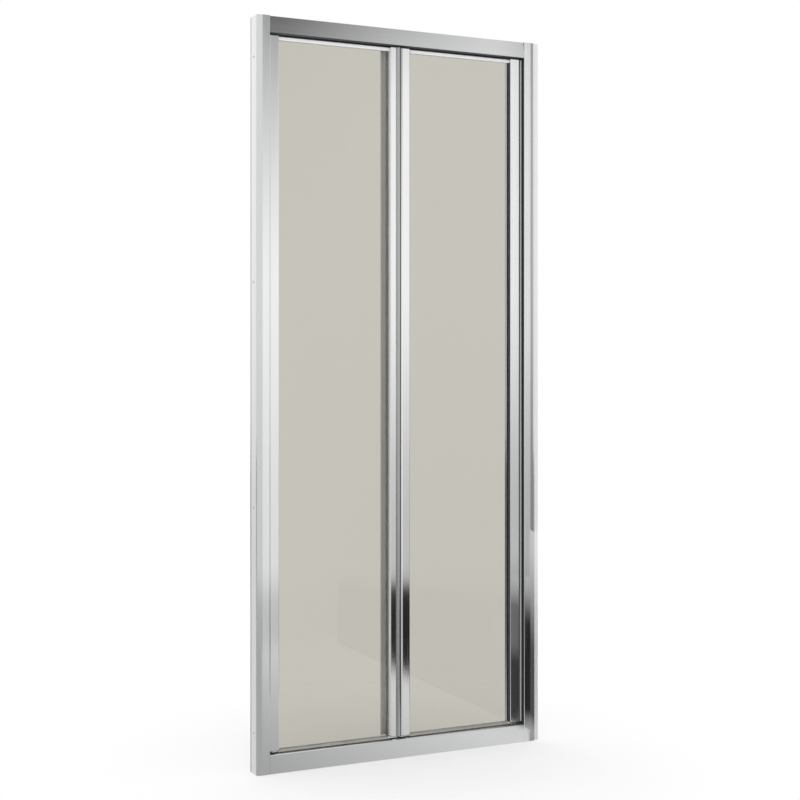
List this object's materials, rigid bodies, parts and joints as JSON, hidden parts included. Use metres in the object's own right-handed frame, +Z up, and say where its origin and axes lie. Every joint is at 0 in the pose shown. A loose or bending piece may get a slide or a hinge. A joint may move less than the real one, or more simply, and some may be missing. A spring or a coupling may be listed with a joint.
{
  "type": "bifold shower door",
  "caption": "Framed bifold shower door: two glass leaves hinged together, one on fixed pivots and one guided by wheels in the head and sill rails, with a full-height finger lip inside.",
  "frame": {"origin": "middle of the sill rail's underside, half way between the walls and half way through the frame's depth", "axes": "+X to the right as seen from outside, +Y into the shower, +Z up"},
  "size_m": [0.8, 0.0505, 1.85],
  "materials": {
    "polished_aluminium": "polished",
    "satin_aluminium": "satin",
    "safety_glass": "clear",
    "grey_rubber": "matt",
    "seal_vinyl": "soft",
    "dark_plastic": "matt",
    "stainless_steel": "bright",
    "white_nylon": "smooth",
    "cap_plastic": "glossy"
  },
  "bodies": {
    "frame": {"left_wall_channel": "satin_aluminium", "right_wall_channel": "satin_aluminium", "left_jamb": "polished_aluminium", "right_jamb": "polished_aluminium", "head_rail": "polished_aluminium", "sill_rail": "polished_aluminium", "corner_screws": "stainless_steel", "jamb_screws": "stainless_steel", "screw_caps": "cap_plastic", "jamb_top_plugs": "dark_plastic", "top_pivot_block": "dark_plastic", "bottom_pivot_block": "dark_plastic", "pivot_block_screws": "stainless_steel", "thrust_washer": "white_nylon", "jamb_magnet": "seal_vinyl"},
    "pivot_leaf": {"pivot_stile": "polished_aluminium", "barrel_stile": "polished_aluminium", "right_glass": "safety_glass", "right_top_trim": "polished_aluminium", "right_wiper": "grey_rubber", "right_gaskets": "grey_rubber", "pivot_seal": "seal_vinyl", "pivot_pins": "stainless_steel", "hinge_pins": "stainless_steel", "pivot_stile_plugs": "dark_plastic", "barrel_stile_plugs": "dark_plastic"},
    "sliding_leaf": {"lead_stile": "polished_aluminium", "handle_stile": "polished_aluminium", "left_glass": "safety_glass", "left_top_trim": "polished_aluminium", "left_wiper": "grey_rubber", "left_gaskets": "grey_rubber", "lead_magnet": "seal_vinyl", "hinge_knuckles": "polished_aluminium", "knuckle_screws": "stainless_steel", "guide_pins": "stainless_steel", "lead_stile_plugs": "dark_plastic", "handle_stile_plugs": "dark_plastic"},
    "top_wheel": {"top_guide_wheel": "white_nylon"},
    "bottom_wheel": {"bottom_guide_wheel": "white_nylon"}
  },
  "joints": [
    {"name": "pivot_swing", "type": "hinge", "parent": "frame", "child": "pivot_leaf", "pos_m": [0.3285, 0, 0.925], "axis": [0, 0, -1], "range_deg": [0, 80]},
    {"name": "fold", "type": "hinge", "parent": "pivot_leaf", "child": "sliding_leaf", "pos_m": [-0.014, -0.016, 0.925], "axis": [0, 0, 1], "range_deg": [0, 160]},
    {"name": "top_wheel_spin", "type": "hinge", "parent": "sliding_leaf", "child": "top_wheel", "pos_m": [-0.3565, 0, 1.814], "axis": [0, 0, 1], "continuous": true},
    {"name": "bottom_wheel_spin", "type": "hinge", "parent": "sliding_leaf", "child": "bottom_wheel", "pos_m": [-0.3565, 0, 0.04], "axis": [0, 0, 1], "continuous": true}
  ],
  "couplings": [
    {"joint": "fold", "follows": "pivot_swing", "ratio": 2}
  ]
}
